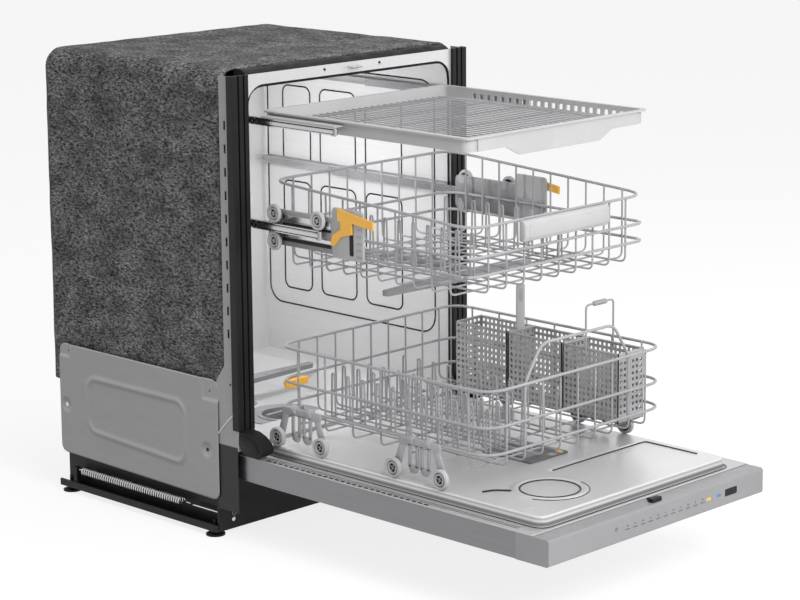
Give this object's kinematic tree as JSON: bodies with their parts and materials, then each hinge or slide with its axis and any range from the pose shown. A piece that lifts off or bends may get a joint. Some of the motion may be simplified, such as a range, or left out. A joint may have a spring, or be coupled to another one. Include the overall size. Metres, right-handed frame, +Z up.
{
  "type": "built-in dishwasher",
  "caption": "Built-in dishwasher with a drop-down door, telescopic upper racks, a wheeled lower rack with cutlery basket, spray arms and door springs.",
  "frame": {"origin": "on the floor, in the middle of the box round the machine with its door open", "axes": "+Z up, +X to the right seen from the front, +Y from the open door into the machine"},
  "size_m": [0.604, 1.295, 0.872],
  "materials": {
    "black_moulding": "satin",
    "stainless": "brushed",
    "felt": "felted",
    "zinc_steel": "galvanised",
    "bright_steel": "bright",
    "rubber": "matt",
    "inner_plastic": "satin",
    "rail_steel": "polished",
    "door_steel": "brushed",
    "control_grey": "satin",
    "pale_plastic": "satin",
    "nylon_wire": "satin",
    "grey_plastic": "satin",
    "amber_plastic": "satin"
  },
  "bodies": {
    "cabinet": {"base_pan": "black_moulding", "levelling_feet": "black_moulding", "tub": "stainless", "insulation_blanket": "felt", "edge_trims": "black_moulding", "front_posts": "zinc_steel", "side_covers": "zinc_steel", "cover_screws": "bright_steel", "top_seal_strip": "rubber", "door_gasket": "rubber", "corner_seals": "rubber", "hinge_brackets": "zinc_steel", "latch_strike": "bright_steel", "door_springs": "bright_steel", "spring_links": "bright_steel", "sump": "inner_plastic", "flat_filter": "inner_plastic", "circulation_pump": "inner_plastic", "drain_pump": "inner_plastic", "drain_spigot": "inner_plastic", "inlet_valve": "inner_plastic", "feed_duct": "stainless", "spray_post": "inner_plastic", "rail_guides": "inner_plastic"},
    "filter": {"filter_cylinder": "inner_plastic"},
    "lower_arm": {"lower_spray_arm": "inner_plastic"},
    "top_arm": {"top_spray_arm": "inner_plastic"},
    "door": {"door_outer_panel": "door_steel", "door_liner": "stainless", "control_panel": "control_grey", "control_board": "inner_plastic", "door_latch": "control_grey", "hinge_arms": "zinc_steel", "dispenser_body": "pale_plastic"},
    "detergent_lid": {"dispenser_lid": "pale_plastic"},
    "rinse_cap": {"rinse_aid_cap": "pale_plastic"},
    "lower_rack": {"lower_basket": "nylon_wire", "lower_tines": "nylon_wire", "wheel_carriers": "grey_plastic", "cutlery_basket": "pale_plastic"},
    "fold_row": {"fold_tines": "nylon_wire"},
    "bail": {"cutlery_bail": "nylon_wire"},
    "wheels_1": {"lower_wheels_1": "grey_plastic"},
    "wheels_2": {"lower_wheels_2": "grey_plastic"},
    "wheels_3": {"lower_wheels_3": "grey_plastic"},
    "wheels_4": {"lower_wheels_4": "grey_plastic"},
    "upper_slides": {"upper_rails": "rail_steel"},
    "carriage": {"height_adjusters": "grey_plastic"},
    "levers": {"adjuster_levers": "amber_plastic"},
    "rollers_rear": {"upper_rollers_rear": "grey_plastic"},
    "rollers_front": {"upper_rollers_front": "grey_plastic"},
    "rollers_below": {"upper_rollers_below": "grey_plastic"},
    "upper_rack": {"upper_basket": "nylon_wire", "upper_grip": "pale_plastic", "rack_hangers": "grey_plastic", "upper_feed_tube": "inner_plastic"},
    "middle_arm": {"middle_spray_arm": "inner_plastic"},
    "third_slides": {"third_rails": "rail_steel"},
    "third_rack": {"third_tray": "pale_plastic", "third_grid": "nylon_wire"}
  },
  "joints": [
    {"name": "door_hinge", "type": "hinge", "parent": "cabinet", "child": "door", "pos_m": [0, 0.0595, 0.143], "axis": [-1, 0, 0], "range_deg": [0, 8]},
    {"name": "lower_rack_slide", "type": "slide", "parent": "door", "child": "lower_rack", "axis": [0, -1, 0], "range_m": [-0.565, 0]},
    {"name": "wheel_1_spin", "type": "hinge", "parent": "lower_rack", "child": "wheels_1", "pos_m": [0, -0.3655, 0.2033], "axis": [1, 0, 0], "continuous": true},
    {"name": "wheel_2_spin", "type": "hinge", "parent": "lower_rack", "child": "wheels_2", "pos_m": [0, -0.2535, 0.2033], "axis": [1, 0, 0], "continuous": true},
    {"name": "wheel_3_spin", "type": "hinge", "parent": "lower_rack", "child": "wheels_3", "pos_m": [0, -0.0715, 0.2033], "axis": [1, 0, 0], "continuous": true},
    {"name": "wheel_4_spin", "type": "hinge", "parent": "lower_rack", "child": "wheels_4", "pos_m": [0, 0.0405, 0.2033], "axis": [1, 0, 0], "continuous": true},
    {"name": "tine_fold", "type": "hinge", "parent": "lower_rack", "child": "fold_row", "pos_m": [-0.115, -0.1975, 0.2347], "axis": [0, 1, 0], "range_deg": [0, 75]},
    {"name": "bail_swing", "type": "hinge", "parent": "lower_rack", "child": "bail", "pos_m": [0.178, -0.35967, 0.348], "axis": [-1, 0, 0], "range_deg": [0, 75]},
    {"name": "upper_slide", "type": "slide", "parent": "cabinet", "child": "upper_slides", "axis": [0, -1, 0], "range_m": [-0.19, 0]},
    {"name": "upper_carriage", "type": "slide", "parent": "upper_slides", "child": "carriage", "axis": [0, -1, 0], "range_m": [-0.341, 0]},
    {"name": "roller_rear_spin", "type": "hinge", "parent": "carriage", "child": "rollers_rear", "pos_m": [0, 0.0365, 0.6143], "axis": [1, 0, 0], "continuous": true},
    {"name": "roller_front_spin", "type": "hinge", "parent": "carriage", "child": "rollers_front", "pos_m": [0, -0.0755, 0.6143], "axis": [1, 0, 0], "continuous": true},
    {"name": "roller_below_spin", "type": "hinge", "parent": "carriage", "child": "rollers_below", "pos_m": [0, 0.0365, 0.5647], "axis": [1, 0, 0], "continuous": true},
    {"name": "upper_height", "type": "slide", "parent": "carriage", "child": "upper_rack", "axis": [0, 0, 1], "range_m": [-0.03, 0]},
    {"name": "height_lever", "type": "hinge", "parent": "carriage", "child": "levers", "pos_m": [0, -0.1095, 0.583], "axis": [-1, 0, 0], "range_deg": [0, 20], "stiffness_Nm_per_rad": 0.4},
    {"name": "middle_arm_spin", "type": "hinge", "parent": "upper_rack", "child": "middle_arm", "pos_m": [0, -0.1795, 0.49], "axis": [0, 0, 1], "continuous": true},
    {"name": "lower_arm_spin", "type": "hinge", "parent": "cabinet", "child": "lower_arm", "pos_m": [0, 0.4175, 0.194], "axis": [0, 0, 1], "continuous": true},
    {"name": "top_arm_spin", "type": "hinge", "parent": "cabinet", "child": "top_arm", "pos_m": [0, 0.4175, 0.826], "axis": [0, 0, 1], "continuous": true},
    {"name": "third_slide", "type": "slide", "parent": "cabinet", "child": "third_slides", "axis": [0, -1, 0], "range_m": [-0.23, 0]},
    {"name": "third_rack_slide", "type": "slide", "parent": "third_slides", "child": "third_rack", "axis": [0, -1, 0], "range_m": [-0.299, 0]},
    {"name": "lid_slide", "type": "slide", "parent": "door", "child": "detergent_lid", "axis": [1, 0, 0], "range_m": [0, 0.036]},
    {"name": "cap_twist", "type": "hinge", "parent": "door", "child": "rinse_cap", "pos_m": [0.056, -0.2775, 0.19], "axis": [0, 0, 1], "range_deg": [0, 90]},
    {"name": "filter_twist", "type": "hinge", "parent": "cabinet", "child": "filter", "pos_m": [0, 0.2875, 0.12], "axis": [0, 0, 1], "range_deg": [0, 90]}
  ],
  "couplings": [
    {"joint": "wheel_1_spin", "follows": "lower_rack_slide", "rad_per_m": 55.556},
    {"joint": "wheel_2_spin", "follows": "lower_rack_slide", "rad_per_m": 55.556},
    {"joint": "wheel_3_spin", "follows": "lower_rack_slide", "rad_per_m": 55.556},
    {"joint": "wheel_4_spin", "follows": "lower_rack_slide", "rad_per_m": 55.556},
    {"joint": "roller_rear_spin", "follows": "upper_carriage", "rad_per_m": 58.824},
    {"joint": "roller_front_spin", "follows": "upper_carriage", "rad_per_m": 58.824},
    {"joint": "roller_below_spin", "follows": "upper_carriage", "rad_per_m": -58.824}
  ]
}
